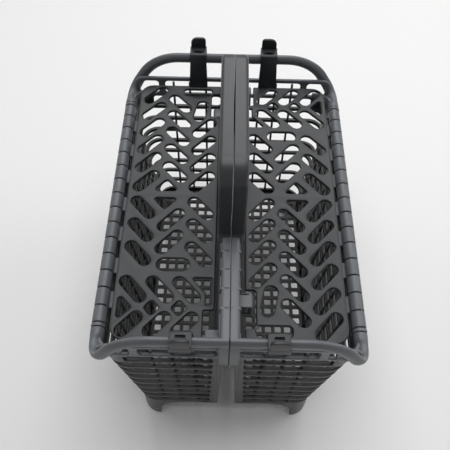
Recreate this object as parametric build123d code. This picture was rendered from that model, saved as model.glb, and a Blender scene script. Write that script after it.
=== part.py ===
from build123d import *
import math
import os

os.makedirs("parts", exist_ok=True)

# Two equal halves side by side, each with a slotted lid hinged on its outer rod
# Frame: X across the basket with the seam at zero, Y along the seam, Z up from the table, millimetres
# The right half is drawn, and the left one is the same piece turned half a turn about Z

# Heights above the table, and rises from the rim
floor_z = 28.0
rim_z = 145.0
side_drop = 9.0
band_rise = 15.0
corner_rise = 2.0
handle_rise = 64.5

# Outer faces of the tapered shell of a half
wall = 2.2
floor_thick = 2.4
bottom_in_x = 7.0
bottom_out_x = 64.0
bottom_end_y = 100.0
top_in_x = 4.0
top_out_x = 79.2
top_end_y = 109.0
corner_out_r = 13.0
corner_in_r = 3.0
corner_facets = 4
corner_land = 13.0
seam_gap = 0.4

# Ribs and slots in the walls
row_start = 5.5
row_pitch = 12.4
rib = 3.0
side_stile_y = 82.0
end_column = 6.0
end_stile_x = 33.0
band_cut = 9.2
top_slot_margin = 8.0

# Slots in the floor
floor_slot_w = 7.5
floor_slot_pitch = 10.5
floor_margin = 5.8
floor_end_margin = 10.0

# Corner feet
foot_thick = 3.0

# Hinge rod on the outer side, and the ring pitch that divides it
rod_inset = 1.6
rod_r = 4.2
rod_sides = 8
neck_r = 2.6
neck_sides = 6
ring_pitch = 12.0
ring_gap = 0.8
hinge_end_room = 8.0
collar_r = 5.0
collar_w = 1.6
collar_gap = 1.4
post_w = 7.0
post_thick = 2.6

# End arches, an upright oval bar with bevelled corners
arch_out = 2.4
arch_back = 5.0
arch_leg = 15.1
arch_slope = math.radians(62.0)
arch_crown_r = 20.0
arch_bend_facets = 2
arch_crown_facets = 3
bar_half_y = 2.4
bar_half_z = 4.0
bar_bevel = 1.5

# Inner rail along the seam, and the columns at both ends
rail_x = 5.3
rail_deep = 6.5
rail_bevel = 1.4
web_thick = 2.2
web_low = 9.4
column_x = 11.0
column_low = 7.0
column_back = 4.0
top_column_x = 7.0

# Handle half
handle_x = 7.4
handle_y = 48.0
handle_bar = 13.0
handle_out_r = 12.0
handle_in_r = 9.0
handle_facets = 3
handle_bevel = 2.2

# Coupling of the halves: a lug that slides into the other half's pocket
fit = 0.5
slide_travel = 12.0
lug_mid_y = 76.8
lug_len = 6.0
lug_neck_rise = (1.5, 5.0)
lug_head_rise = (-1.0, 7.4)
lug_head_x = 8.0
lug_head_thick = 3.6
pocket_wall = 1.9
pocket_lip = 0.8
pocket_round = 1.8
guide_gap = 2.4
guide_len = 7.6

# Lid plate
lid_rail_gap = 3.6
lid_rod_gap = 8.6
lid_end_gap = 6.0
lid_rise = 11.0
lid_thick = 2.6
lid_corner = 5.5
notch_gap = 1.5

# Lid slots, with ends drawn as half octagons
slot_r = 3.95
slot_dx = 9.2
slot_dy = 10.1
slot_bridge = 1.0
outer_margin = 11.4
inner_margin = 10.9
front_pitch = 16.3
front_first_y = 10.4
front_middle_y = 19.0
back_pitch = 17.4
back_first_y = 11.0
back_middle_y = 20.5
back_middle_pitch = 16.7
cross_margin = 10.8
cross_pitch = 16.2
cross_row_y = 32.4
end_row_y = 10.0
end_slot_dx = 7.7
end_slot_dy = 8.3
level_slot_x = 35.2
level_slot_y = 53.4
level_slot_len = 11.2
level_slot_r = 4.6
upright_slot_gap = 7.7
upright_slot_dx = 2.5
upright_slot_dy = 12.2
upright_slot_r = 4.2
middle_web = 2.6
triangle_tall = 10.2
triangle_half = 9.1
triangle_shift = 4.9
edge_triangle_half = 8.6
edge_triangle_deep = 8.8
edge_margin = 2.8
corner_bevel = 1.2
diamond_side = 6.8
diamond_offset = 12.15
diamond_bevel = 1.4
clip_slot_x = 21.0
clip_slot_y = 7.4
clip_slot_margin = 3.2
clip_slot_bevel = 1.6
bay_x = (1.7, 5.3, 14.5)
bay_y = (41.0, 30.2, 22.4)

# Lid hooks on the rod
hook_play = 0.35
hook_arm = 2.4
hook_mouth = 4.6
hook_mouth_turn = 45.0

# Lid latch clips
clip_x = 26.0
clip_base_w = 14.0
clip_w = 12.2
clip_foot = 2.0
clip_rise_gap = 1.6
clip_reach = 6.0
clip_thick = 2.0
clip_lift = 0.3
clip_tab_tall = 12.7
clip_tab_lean = 2.4
clip_tab_bevel = 3.0
clip_hole_x = 5.6
clip_hole_y = 4.2
clip_hole_back = 2.1

# Heights and places that follow
side_top_z = rim_z - side_drop
end_top_z = rim_z + band_rise
arch_low_r = arch_out + arch_back
arch_up = arch_low_r + arch_leg
crown_z = rim_z + arch_up * math.sin(arch_slope) - arch_crown_r * math.cos(arch_slope)
bar_z = crown_z + arch_crown_r
handle_top_z = bar_z + handle_rise
rail_low_z = bar_z + bar_half_z - rail_deep
rod_x = top_out_x - rod_inset
arch_y = top_end_y + arch_out
arch_start_y = top_end_y - arch_back
crown_x = rod_x - arch_up * math.cos(arch_slope) - arch_crown_r * math.sin(arch_slope)
band_cut_x = top_out_x - band_cut
row_open = row_pitch - rib
reach = 2 * (top_end_y + top_out_x)
lid_in_x = rail_x + lid_rail_gap
lid_out_x = rod_x - lid_rod_gap
lid_end_y = top_end_y - lid_end_gap
lid_top_z = rim_z + lid_rise
lid_low_z = lid_top_z - lid_thick
lug_neck_z = [rim_z + z for z in lug_neck_rise]
lug_head_z = [rim_z + z for z in lug_head_rise]
pocket_x = lug_head_x + lug_head_thick + fit + pocket_wall
pocket_near_y = lug_mid_y - lug_len / 2 - fit - pocket_wall
pocket_far_y = lug_mid_y + lug_len / 2 + pocket_lip
entry_far_y = pocket_far_y + slide_travel + fit
guide_near_y = entry_far_y + guide_gap
octagon = 2 - math.sqrt(2)

# Hinge segments, fixed ones and hooks by turns, with a fixed one at each end
hinge_pairs = int((arch_start_y - hinge_end_room - ring_pitch / 2) / ring_pitch)
segment_y = [ring_pitch * n for n in range(-hinge_pairs, hinge_pairs + 1)]
fixed_y = segment_y[0::2]
hook_y = segment_y[1::2]
hinge_half_y = segment_y[-1] + ring_pitch / 2
segment_half = (ring_pitch - ring_gap) / 2


def block(x, y, z):
    size = (x[1] - x[0], y[1] - y[0], z[1] - z[0])
    middle = ((x[0] + x[1]) / 2, (y[0] + y[1]) / 2, (z[0] + z[1]) / 2)
    return Pos(*middle) * Box(*size)


def both_ends(x, y, z):
    return [block(x, y, z), block(x, (-y[1], -y[0]), z)]


def places(first, pitch, limit):
    # As many places as fit from the first one to a limit
    return [first + n * pitch for n in range(int((limit - first) / pitch) + 1)]


def corner_points(cx, cy, r, start, facets):
    # A rounded corner drawn with flat facets
    turn = [math.radians(start + 90 * i / facets) for i in range(facets + 1)]
    return [(cx + r * math.cos(a), cy + r * math.sin(a)) for a in turn]


def shell_outline(z, inset):
    # Outline of the tapered shell at a height, moved in by an inset
    t = (z - floor_z) / (end_top_z - floor_z)
    x0 = bottom_in_x + t * (top_in_x - bottom_in_x) + inset
    x1 = bottom_out_x + t * (top_out_x - bottom_out_x) - inset
    y1 = bottom_end_y + t * (top_end_y - bottom_end_y) - inset
    r_out = corner_out_r - inset
    r_in = corner_in_r - inset / 2
    points = corner_points(x1 - r_out, r_out - y1, r_out, -90, corner_facets)
    points += corner_points(x1 - r_out, y1 - r_out, r_out, 0, corner_facets)
    points += [(x0 + r_in, y1), (x0, y1 - r_in), (x0, r_in - y1), (x0 + r_in, -y1)]
    return [(x, y, z) for x, y in points]


def flat_face(points):
    return Face(Wire.make_polygon([Vector(*p) for p in points], close=True))


def ring_solid(rings):
    # Flat-sided solid through rings of matching corners
    faces = [flat_face(rings[0]), flat_face(rings[-1])]
    for low, high in zip(rings[:-1], rings[1:]):
        for i in range(len(low)):
            j = (i + 1) % len(low)
            faces.append(flat_face([low[i], low[j], high[j], high[i]]))
    return Solid(Shell(faces))


def tapered(inset, z0, z1):
    return ring_solid([shell_outline(z0, inset), shell_outline(z1, inset)])


def mitred(ring, path):
    # A section carried along a path and cut at the mitre plane of each bend
    rings = [ring]
    for i in range(1, len(path)):
        along = (path[i] - path[i - 1]).normalized()
        onward = (path[i + 1] - path[i]).normalized() if i + 1 < len(path) else along
        mitre = along + onward
        rings.append([p + along * ((path[i] - p).dot(mitre) / along.dot(mitre)) for p in rings[-1]])
    return ring_solid(rings)


def wall_slots():
    # Rows of slots; the outer ones run round the corners from the end walls into the side
    cuts = []
    low = floor_z + row_start
    end_in_x = bottom_in_x + end_column
    stile_y = (rib / 2, side_stile_y - rib / 2)
    side_rows = places(low, row_pitch, side_top_z - rib - row_open)
    end_rows = places(low, row_pitch, end_top_z - rib - row_open)
    top_slot_x = band_cut_x - top_slot_margin
    near_y = bottom_end_y - corner_out_r
    half = rib / 2
    for z0 in end_rows:
        z = (z0, z0 + row_open)
        cuts += both_ends((end_in_x, end_stile_x - half), (near_y, reach), z)
        if z0 not in side_rows:
            cuts += both_ends((end_stile_x + half, top_slot_x), (near_y, reach), z)
            continue
        cuts += both_ends((end_stile_x + half, reach), (side_stile_y + half, reach), z)
        cuts += both_ends((end_stile_x, reach), stile_y, z)
    for z0, z1 in zip(side_rows[0::2], side_rows[1::2]):
        cuts += both_ends((0, end_in_x), stile_y, (z0, z1 + row_open))
    return cuts


def floor_slots():
    cuts = []
    last = bottom_out_x - floor_margin - floor_slot_w
    for x in places(bottom_in_x + floor_margin, floor_slot_pitch, last):
        y = (rib / 2, bottom_end_y - floor_end_margin)
        cuts += both_ends((x, x + floor_slot_w), y, (0, floor_z + 2 * floor_thick))
    return cuts


def foot(side):
    # Quarter-round foot under an outer corner
    cx = bottom_out_x - corner_out_r
    cy = bottom_end_y - corner_out_r
    outline = corner_points(cx, cy, corner_out_r, 0, corner_facets)
    outline += corner_points(cx, cy, corner_out_r - foot_thick, 0, corner_facets)[::-1]
    face = flat_face([(x, side * y, 0) for x, y in outline])
    return extrude(face, amount=floor_z + floor_thick / 2, dir=(0, 0, 1))


def rod_piece(y0, y1, r, sides):
    plane = Plane(origin=(rod_x, y0, rim_z), x_dir=(1, 0, 0), z_dir=(0, 1, 0))
    return extrude(plane * RegularPolygon(r, sides), amount=y1 - y0)


def hinge_rod():
    # Thin neck for the hooks, full segments on posts, a collar and a plain length at each end
    collar = hinge_half_y + collar_gap
    pieces = [rod_piece(-arch_start_y, arch_start_y, neck_r, neck_sides)]
    for y in fixed_y:
        pieces.append(rod_piece(y - segment_half, y + segment_half, rod_r, rod_sides))
        pieces.append(block(
            (rod_x - post_thick, rod_x), (y - post_w / 2, y + post_w / 2), (side_top_z - rib, rim_z)
        ))
    for y0, y1, r in ((collar, collar + collar_w, collar_r), (collar + collar_w, arch_start_y, rod_r)):
        pieces.append(rod_piece(y0, y1, r, rod_sides))
        pieces.append(rod_piece(-y1, -y0, r, rod_sides))
    return pieces


def bar_section():
    # Corners of the arch's bar as it leaves the rod
    quarter = [(bar_half_z, bar_half_y - bar_bevel), (bar_half_z - bar_bevel, bar_half_y)]
    half = quarter + [(-x, y) for x, y in reversed(quarter)]
    return half + [(x, -y) for x, y in reversed(half)]


def arch(side):
    # The rod's end bends up into a leaning leg, then over into the bar above the end wall
    start = Vector(rod_x, side * arch_start_y, rim_z)
    outward = Vector(0, side, 0)
    upward = Vector(-math.cos(arch_slope), 0, math.sin(arch_slope))
    across = Vector(math.sin(arch_slope), 0, math.cos(arch_slope))
    bend = corner_points(0, arch_low_r, arch_low_r, -90, arch_bend_facets)
    path = [start + outward * out + upward * up for out, up in bend]
    for i in range(arch_crown_facets + 1):
        turn = arch_slope * (1 - i / arch_crown_facets)
        x = crown_x + arch_crown_r * math.sin(turn)
        z = crown_z + arch_crown_r * math.cos(turn)
        path.append(Vector(x, side * arch_y, z))
    path.append(Vector(seam_gap, side * arch_y, bar_z))
    ring = [start + across * x + upward * z for x, z in bar_section()]
    return mitred(ring, path)


def seam_rail():
    # Rail at the height of the bars, the web that carries it, and the columns at the ends
    rail = block((seam_gap, rail_x), (-arch_y, arch_y), (rail_low_z, bar_z + bar_half_z))
    top_edges = rail.edges().filter_by(Axis.Y).group_by(Axis.Z)[-1]
    rail = chamfer(top_edges.sort_by(Axis.X)[-1:], rail_bevel)
    column_y = top_end_y - column_back
    low = rim_z - column_low
    pieces = [rail]
    pieces.append(block((rail_x - web_thick, rail_x), (-column_y, column_y), (end_top_z - web_low, bar_z)))
    pieces += both_ends((seam_gap, top_column_x), (column_y, arch_y), (low, bar_z))
    pieces += both_ends((seam_gap, column_x), (column_y, top_end_y - wall / 2), (low, end_top_z))
    return pieces


def handle_arc(y, z, r):
    # Upper corners of the handle's outline, from one leg to the other
    turn = corner_points(y - r, z - r, r, 0, handle_facets)
    return turn + [(-y, z) for y, z in reversed(turn)]


def handle():
    # Half of the carrying handle, with its outer edge bevelled
    low = rail_low_z
    leg_y = handle_y - handle_bar
    outline = [(handle_y, low)] + handle_arc(handle_y, handle_top_z, handle_out_r) + [(-handle_y, low)]
    hole = [(leg_y, low)] + handle_arc(leg_y, handle_top_z - handle_bar, handle_in_r) + [(-leg_y, low)]
    plane = Plane(origin=(seam_gap, 0, 0), x_dir=(0, 1, 0), z_dir=(1, 0, 0))
    face = make_face(Polyline(*outline, *reversed(hole), close=True))
    loop = extrude(plane * face, amount=handle_x - seam_gap)
    outer = loop.faces().sort_by(Axis.X)[-1].edges()
    return chamfer(outer.filter_by(lambda e: e.center().Z > low + rail_bevel), handle_bevel)


def coupling():
    # Pocket at the front for the other half's lug; lug and guide block at the back
    pocket_z = (lug_head_z[0] - fit - pocket_wall, lug_head_z[1] + fit + pocket_wall)
    pocket = block((top_in_x, pocket_x), (-pocket_far_y, -pocket_near_y), pocket_z)
    pocket = chamfer(pocket.edges().filter_by(Axis.Y).group_by(Axis.X)[-1], pocket_round)
    lug_y = (lug_mid_y - lug_len / 2, lug_mid_y + lug_len / 2)
    neck = block((-lug_head_x, top_in_x + wall), lug_y, lug_neck_z)
    head = block((-lug_head_x - lug_head_thick, -lug_head_x), lug_y, lug_head_z)
    guide_y = (guide_near_y, guide_near_y + guide_len)
    guide = block((top_in_x + fit, pocket_x), guide_y, (pocket_z[0], lid_top_z))
    return [pocket, neck, head, guide]


def coupling_room():
    # Room for the other half's lug in the pocket and along its way in
    near = -lug_mid_y + lug_len / 2 + fit
    neck_z = (lug_neck_z[0] - fit, lug_neck_z[1] + fit)
    head_z = (lug_head_z[0] - fit, lug_head_z[1] + fit)
    head_end_x = lug_head_x + lug_head_thick + fit
    return [
        block((-wall, lug_head_x), (-entry_far_y, near), neck_z),
        block((lug_head_x - fit, head_end_x), (-entry_far_y, near), head_z),
        block((-wall, head_end_x), (-entry_far_y, -pocket_far_y - fit), head_z),
    ]


def build_half():
    body = tapered(0, floor_z, end_top_z)
    body -= tapered(wall, floor_z + floor_thick, end_top_z + wall)
    side_end_y = top_end_y - corner_land
    low_cut = block((bottom_out_x, reach), (-side_end_y, side_end_y), (side_top_z, reach))
    band_cuts = block((band_cut_x, reach), (-reach, reach), (rim_z + corner_rise, reach))
    body = body.cut(low_cut, band_cuts, *wall_slots(), *floor_slots())
    adds = [foot(-1), foot(1), arch(-1), arch(1)] + hinge_rod()
    adds += seam_rail() + [handle()] + coupling()
    body = body.fuse(*adds)
    return body.cut(*coupling_room())


def slot(x, y, dx, dy, r):
    length = math.hypot(dx, dy)
    outline = chamfer(Rectangle(length + 2 * r, 2 * r).vertices(), r * octagon)
    return Pos(x, y) * Rot(0, 0, math.degrees(math.atan2(dy, dx))) * outline


def polygon(points, bevel):
    face = make_face(Polyline(*points, close=True))
    return chamfer(face.vertices(), bevel)


def lid_openings():
    # Herringbone of slanted slots, in front of the middle web and behind it
    half_y = slot_dy / 2 + slot_r
    clear = half_y + slot_bridge
    outer_x = lid_out_x - outer_margin
    inner_x = lid_in_x + inner_margin
    middle_x = (outer_x + inner_x) / 2
    cross_y = lid_end_y - cross_row_y
    end_y = lid_end_y - end_row_y
    holes = []
    for y in places(front_first_y, front_pitch, lid_end_y - clear):
        holes.append(slot(outer_x, -y, slot_dx, slot_dy, slot_r))
    for y in places(front_middle_y, front_pitch, lid_end_y - clear):
        holes.append(slot(middle_x, -y, -slot_dx, slot_dy, slot_r))
    for y in places(front_first_y, front_pitch, pocket_near_y - notch_gap - clear):
        holes.append(slot(inner_x, -y, slot_dx, slot_dy, slot_r))
    for y in places(back_first_y, back_pitch, cross_y - half_y - clear):
        holes.append(slot(outer_x, y, -slot_dx, slot_dy, slot_r))
        holes.append(slot(inner_x, y, -slot_dx, slot_dy, slot_r))
    for y in places(back_middle_y, back_middle_pitch, level_slot_y - level_slot_r - clear):
        holes.append(slot(middle_x, y, slot_dx, slot_dy, slot_r))
    holes.append(slot(level_slot_x, level_slot_y, level_slot_len, 0, level_slot_r))

    # Rows across the back, with two diamonds and a triangle between them
    count = int((lid_out_x - lid_in_x - 2 * cross_margin) / cross_pitch) + 1
    for n in range(count):
        x = lid_out_x - cross_margin - n * cross_pitch
        holes.append(slot(x, cross_y, -slot_dx, slot_dy, slot_r))
        holes.append(slot(x, end_y, end_slot_dx, end_slot_dy, slot_r))
    between_y = (cross_y + end_y) / 2
    angle = math.degrees(math.atan2(slot_dy, slot_dx))
    for n in range(count - 1):
        x = lid_out_x - cross_margin - diamond_offset - n * cross_pitch
        diamond = chamfer(Rectangle(diamond_side, diamond_side).vertices(), diamond_bevel)
        holes.append(Pos(x, between_y) * Rot(0, 0, angle) * diamond)
    edge_x = lid_out_x - edge_margin
    holes.append(polygon((
        (edge_x, between_y - edge_triangle_half),
        (edge_x - edge_triangle_deep, between_y),
        (edge_x, between_y + edge_triangle_half),
    ), corner_bevel))

    # Triangles on both sides of the middle web
    triangle_x = middle_x + triangle_shift
    for side in (-1, 1):
        holes.append(polygon((
            (triangle_x - triangle_half, side * middle_web),
            (triangle_x + triangle_half, side * middle_web),
            (triangle_x, side * (middle_web + triangle_tall)),
        ), corner_bevel))

    # Openings beside the coupling and the front clip
    upright_x = pocket_x + notch_gap + upright_slot_gap
    holes.append(slot(upright_x, -lug_mid_y, upright_slot_dx, upright_slot_dy, upright_slot_r))
    clip_y = lid_end_y - clip_slot_margin - clip_slot_y / 2
    clip_slot = chamfer(Rectangle(clip_slot_x, clip_slot_y).vertices(), clip_slot_bevel)
    holes.append(Pos(clip_x, -clip_y) * clip_slot)
    x0, x1, x2 = [lid_in_x + x for x in bay_x]
    y0, y1, y2 = [lid_end_y - y for y in bay_y]
    holes.append(make_face(Polyline((x2, y0), (x0, y0), (x0, y2), (x1, y2), (x1, y1), close=True)))
    return holes


def lid_plate():
    outline = Pos((lid_in_x + lid_out_x) / 2, 0) * Rectangle(lid_out_x - lid_in_x, 2 * lid_end_y)
    outline = chamfer(outline.vertices().group_by(Axis.X)[-1], lid_corner)
    notch_x = pocket_x + notch_gap
    notch_y = (pocket_near_y - notch_gap, entry_far_y + notch_gap)
    outline -= Pos(lid_in_x, -(notch_y[0] + notch_y[1]) / 2) * Rectangle(
        2 * (notch_x - lid_in_x), notch_y[1] - notch_y[0]
    )
    corner_y = guide_near_y - slide_travel
    outline -= Pos(lid_in_x, lid_end_y) * Rectangle(2 * (notch_x - lid_in_x), 2 * (lid_end_y - corner_y))
    plate = extrude(Pos(0, 0, lid_low_z) * outline, amount=lid_thick)
    deep = Pos(0, 0, lid_low_z - lid_thick)
    return plate.cut(*[extrude(deep * hole, amount=3 * lid_thick) for hole in lid_openings()])


def hook(y):
    # Open ring round the rod's neck, on an arm from the lid's edge
    ends = (y - segment_half, y + segment_half)
    bore = RegularPolygon(neck_r + hook_play, neck_sides, major_radius=False)
    plane = Plane(origin=(rod_x, ends[0], rim_z), x_dir=(1, 0, 0), z_dir=(0, 1, 0))
    mouth = Rot(0, 0, -hook_mouth_turn) * Pos(rod_r, 0) * Rectangle(2 * rod_r, hook_mouth)
    ring = extrude(plane * (RegularPolygon(rod_r, rod_sides) - bore - mouth), amount=2 * segment_half)
    arm_z = (rim_z - hook_arm / 2, rim_z + hook_arm / 2)
    arm = block((lid_out_x - hook_arm, rod_x - (rod_r + neck_r + hook_play) / 2), ends, arm_z)
    drop = block((lid_out_x - hook_arm, lid_out_x), ends, (arm_z[0], lid_low_z + lid_thick / 2))
    return [ring, arm, drop]


def clip(side):
    # Tongue from the lid, plate over the bar, upright thumb tab
    plate_low = bar_z + bar_half_z + clip_lift
    plate_top = plate_low + clip_thick
    tab_top = plate_low + clip_tab_tall
    foot_y = lid_end_y - clip_foot
    rise_y = lid_end_y + clip_rise_gap
    tip_y = arch_y + clip_reach
    points = [
        (foot_y, lid_low_z),
        (foot_y + clip_thick, lid_low_z),
        (rise_y + clip_thick, plate_low),
        (tip_y, plate_low),
        (tip_y - clip_tab_lean, tab_top),
        (tip_y - clip_tab_lean - clip_thick, tab_top),
        (tip_y - clip_thick, plate_top),
        (rise_y, plate_top),
    ]
    side_plane = Plane(origin=(clip_x - clip_base_w / 2, 0, 0), x_dir=(0, 1, 0), z_dir=(1, 0, 0))
    profile = make_face(Polyline(*[(y * side, z) for y, z in points], close=True))
    strip = extrude(side_plane * profile, amount=clip_base_w)
    # Outline seen along Y: narrower above the tongue, with the tab's outer corner cut back
    base = clip_base_w / 2
    half = clip_w / 2
    outline = make_face(Polyline(
        (-base, lid_low_z), (base, lid_low_z), (half, plate_low), (half, tab_top - clip_tab_bevel),
        (half - clip_tab_bevel, tab_top), (-half, tab_top), (-half, plate_low), close=True,
    ))
    front_plane = Plane(origin=(clip_x, reach, 0), x_dir=(1, 0, 0), z_dir=(0, -1, 0))
    strip = strip & extrude(front_plane * outline, amount=2 * reach)
    hole_y = arch_y - clip_hole_back
    hole = Pos(clip_x, side * hole_y, plate_low) * Box(clip_hole_x, clip_hole_y, 2 * clip_tab_tall)
    return strip - hole


def build_lid():
    adds = [clip(-1), clip(1)]
    for y in hook_y:
        adds += hook(y)
    return lid_plate().fuse(*adds)


right_half = build_half()
right_lid = build_lid()
half_turn = Rot(0, 0, 180)
nodes = {
    "left_half": half_turn * right_half,
    "right_half": right_half,
    "left_lid": half_turn * right_lid,
    "right_lid": right_lid,
}
for name, shape in nodes.items():
    export_step(shape, "parts/" + name + ".step")
    box = shape.bounding_box()
    print(name, len(shape.solids()), "solid", round(shape.volume), "mm3", box.min, box.max)
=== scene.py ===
import math

import bpy
from mathutils import Matrix, Vector


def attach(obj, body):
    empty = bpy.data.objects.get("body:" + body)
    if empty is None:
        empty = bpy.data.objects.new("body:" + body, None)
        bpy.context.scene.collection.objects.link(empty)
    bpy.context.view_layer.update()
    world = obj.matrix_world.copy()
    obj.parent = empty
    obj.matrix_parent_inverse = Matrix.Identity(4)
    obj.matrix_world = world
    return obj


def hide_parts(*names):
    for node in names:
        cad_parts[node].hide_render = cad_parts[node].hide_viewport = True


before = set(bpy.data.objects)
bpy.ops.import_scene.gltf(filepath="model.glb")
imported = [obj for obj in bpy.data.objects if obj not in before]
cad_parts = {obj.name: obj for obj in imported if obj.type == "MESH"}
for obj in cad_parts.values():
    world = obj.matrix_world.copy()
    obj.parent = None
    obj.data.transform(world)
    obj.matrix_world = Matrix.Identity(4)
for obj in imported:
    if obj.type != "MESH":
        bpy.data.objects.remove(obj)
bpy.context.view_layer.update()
bpy.ops.object.select_all(action="DESELECT")
print("frame loaded:", ", ".join(sorted(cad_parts)))

# everything is modelled in millimetres on the right side, then scaled to metres
mm = 0.001
weldGap = 0.002  # vertices closer than this become one
hair = 0.01  # smallest rounding, and margin when a face is picked
smoothAngle = 32.0
halfTurn = Matrix.Rotation(math.pi, 4, "Z")
swapEnds = Matrix.Scale(-1, 4, (0, 1, 0))


def pick(obj):  # only this object selected and active
    if bpy.context.object and bpy.context.object.mode != "OBJECT":
        bpy.ops.object.mode_set(mode="OBJECT")
    bpy.ops.object.select_all(action="DESELECT")
    obj.select_set(True)
    bpy.context.view_layer.objects.active = obj
    return obj


def joinPieces(pieces, name):
    pick(pieces[0])
    for piece in pieces:
        piece.select_set(True)
    bpy.ops.object.join()
    pieces[0].name = name
    return pieces[0]


def applyModifiers(obj):
    pick(obj)
    for mod in list(obj.modifiers):
        bpy.ops.object.modifier_apply(modifier=mod.name)
    return obj


def placed(obj, matrix):  # turn and move, then put the place into the mesh
    pick(obj)
    obj.matrix_world = matrix @ obj.matrix_world
    bpy.ops.object.transform_apply(location=True, rotation=True, scale=True)
    return obj


def copied(obj, matrix):  # copy with its own mesh
    pick(obj)
    bpy.ops.object.duplicate(linked=False)
    return placed(bpy.context.object, matrix)


def cleaned(obj):  # doubles merged, faces pointing outwards
    pick(obj)
    bpy.ops.object.mode_set(mode="EDIT")
    bpy.ops.mesh.select_all(action="SELECT")
    bpy.ops.mesh.remove_doubles(threshold=weldGap)
    bpy.ops.mesh.normals_make_consistent(inside=False)
    bpy.ops.object.mode_set(mode="OBJECT")
    return obj


def mirrored(obj):  # copy at the other end of the basket
    return cleaned(copied(obj, swapEnds))


def bevelled(obj, width, segments=2, angle=35.0):
    mod = obj.modifiers.new("softEdges", "BEVEL")
    mod.width = width
    mod.segments = segments
    mod.limit_method = "ANGLE"
    mod.angle_limit = math.radians(angle)
    mod.harden_normals = False
    return applyModifiers(obj)


def arcPoints(cx, cy, r, start, stop, steps):
    turns = [math.radians(start + (stop - start) * k / steps) for k in range(steps + 1)]
    return [(cx + r * math.cos(a), cy + r * math.sin(a)) for a in turns]


def roundedLoop(corners, steps=5):  # corners given as (x, y, radius)
    loop = []
    for i, (x, y, r) in enumerate(corners):
        if r == 0:
            loop.append((x, y))
            continue
        tip = Vector((x, y))
        back = (Vector(corners[i - 1][:2]) - tip).normalized()
        ahead = (Vector(corners[(i + 1) % len(corners)][:2]) - tip).normalized()
        half = back.angle(ahead) / 2
        centre = tip + (back + ahead).normalized() * (r / math.sin(half))
        spoke = tip + back * (r / math.tan(half)) - centre
        side = 1 if back.x * ahead.y - back.y * ahead.x < 0 else -1
        for k in range(steps + 1):
            a = side * (math.pi - 2 * half) * k / steps
            c, s = math.cos(a), math.sin(a)
            loop.append((centre.x + c * spoke.x - s * spoke.y, centre.y + s * spoke.x + c * spoke.y))
    return loop


def slotLoop(x, y, dx, dy, r, steps=8):  # slot with round ends, along (dx, dy)
    lean = math.degrees(math.atan2(dy, dx))
    loop = arcPoints(x + dx / 2, y + dy / 2, r, lean - 90, lean + 90, steps)
    return loop + arcPoints(x - dx / 2, y - dy / 2, r, lean + 90, lean + 270, steps)


def boxLoop(x0, x1, y0, y1, r):
    return roundedLoop([(x0, y0, r), (x1, y0, r), (x1, y1, r), (x0, y1, r)], steps=4)


def drawnCurve(name, loops, flat, closed, z=0.0):
    data = bpy.data.curves.new(name, "CURVE")
    data.dimensions = "2D" if flat else "3D"
    for loop in loops:
        line = data.splines.new("POLY")
        line.points.add(len(loop) - 1)
        for spot, (x, y) in zip(line.points, loop):
            spot.co = (x, y, z, 1)
        line.use_cyclic_u = closed
    obj = bpy.data.objects.new(name, data)
    bpy.context.scene.collection.objects.link(obj)
    return pick(obj)


def wire(name, points, closed, z=0.0):  # edges only, at a height
    drawnCurve(name, [points], flat=False, closed=closed, z=z)
    bpy.ops.object.convert(target="MESH")
    return bpy.context.object


def plate(name, loops, thick, rounding, place=Matrix.Identity(4)):  # rounded edges, middle in its plane
    obj = drawnCurve(name, loops, flat=True, closed=True)
    obj.data.fill_mode = "BOTH"
    obj.data.extrude = thick / 2 - rounding
    obj.data.bevel_depth = rounding
    obj.data.bevel_resolution = 2
    obj.data.offset = -rounding
    bpy.ops.object.convert(target="MESH")
    return placed(cleaned(bpy.context.object), place)


def bridged(wires, name):  # skin between wires at several heights
    skin = joinPieces(wires, name)
    bpy.ops.object.mode_set(mode="EDIT")
    bpy.ops.mesh.select_all(action="SELECT")
    bpy.ops.mesh.bridge_edge_loops()
    bpy.ops.mesh.select_all(action="SELECT")
    bpy.ops.mesh.normals_make_consistent(inside=False)
    bpy.ops.object.mode_set(mode="OBJECT")
    return skin


def thickened(skin, deep, cx=0.0, cy=0.0, even=True):  # grown towards the upright line at (cx, cy)
    faces = skin.data.polygons
    outwards = sum((p.center.x - cx) * p.normal.x + (p.center.y - cy) * p.normal.y for p in faces)
    mod = skin.modifiers.new("wallThickness", "SOLIDIFY")
    mod.thickness = deep
    mod.offset = -1 if outwards > 0 else 1
    mod.use_even_offset = even
    return applyModifiers(skin)


def box(name, x, y, z, rounding=0.5, segments=2):
    bpy.ops.object.select_all(action="DESELECT")
    middle = [(a + b) / 2 for a, b in (x, y, z)]
    bpy.ops.mesh.primitive_cube_add(size=1, location=middle, scale=[b - a for a, b in (x, y, z)])
    obj = bpy.context.object
    obj.name = name
    bpy.ops.object.transform_apply(location=True, rotation=True, scale=True)
    return bevelled(obj, rounding, segments)


def bothEnds(name, x, y, z, rounding=0.5):
    return [box(name, x, y, z, rounding), box(name, x, (-y[1], -y[0]), z, rounding)]


def standing(x):  # a plan in (Y, Z) stood up at an X place
    return Matrix(((0, 0, 1, x), (1, 0, 0, 0), (0, 1, 0, 0), (0, 0, 0, 1)))


def facing(y):  # a plan in (X, Z) stood up at a Y place
    return Matrix(((1, 0, 0, 0), (0, 0, -1, y), (0, 1, 0, 0), (0, 0, 0, 1)))


def turned(degrees, axis):
    return Matrix.Rotation(math.radians(degrees), 4, axis)


def turnedAbout(point, degrees, axis):
    return Matrix.Translation(point) @ turned(degrees, axis) @ Matrix.Translation(-Vector(point))


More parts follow.
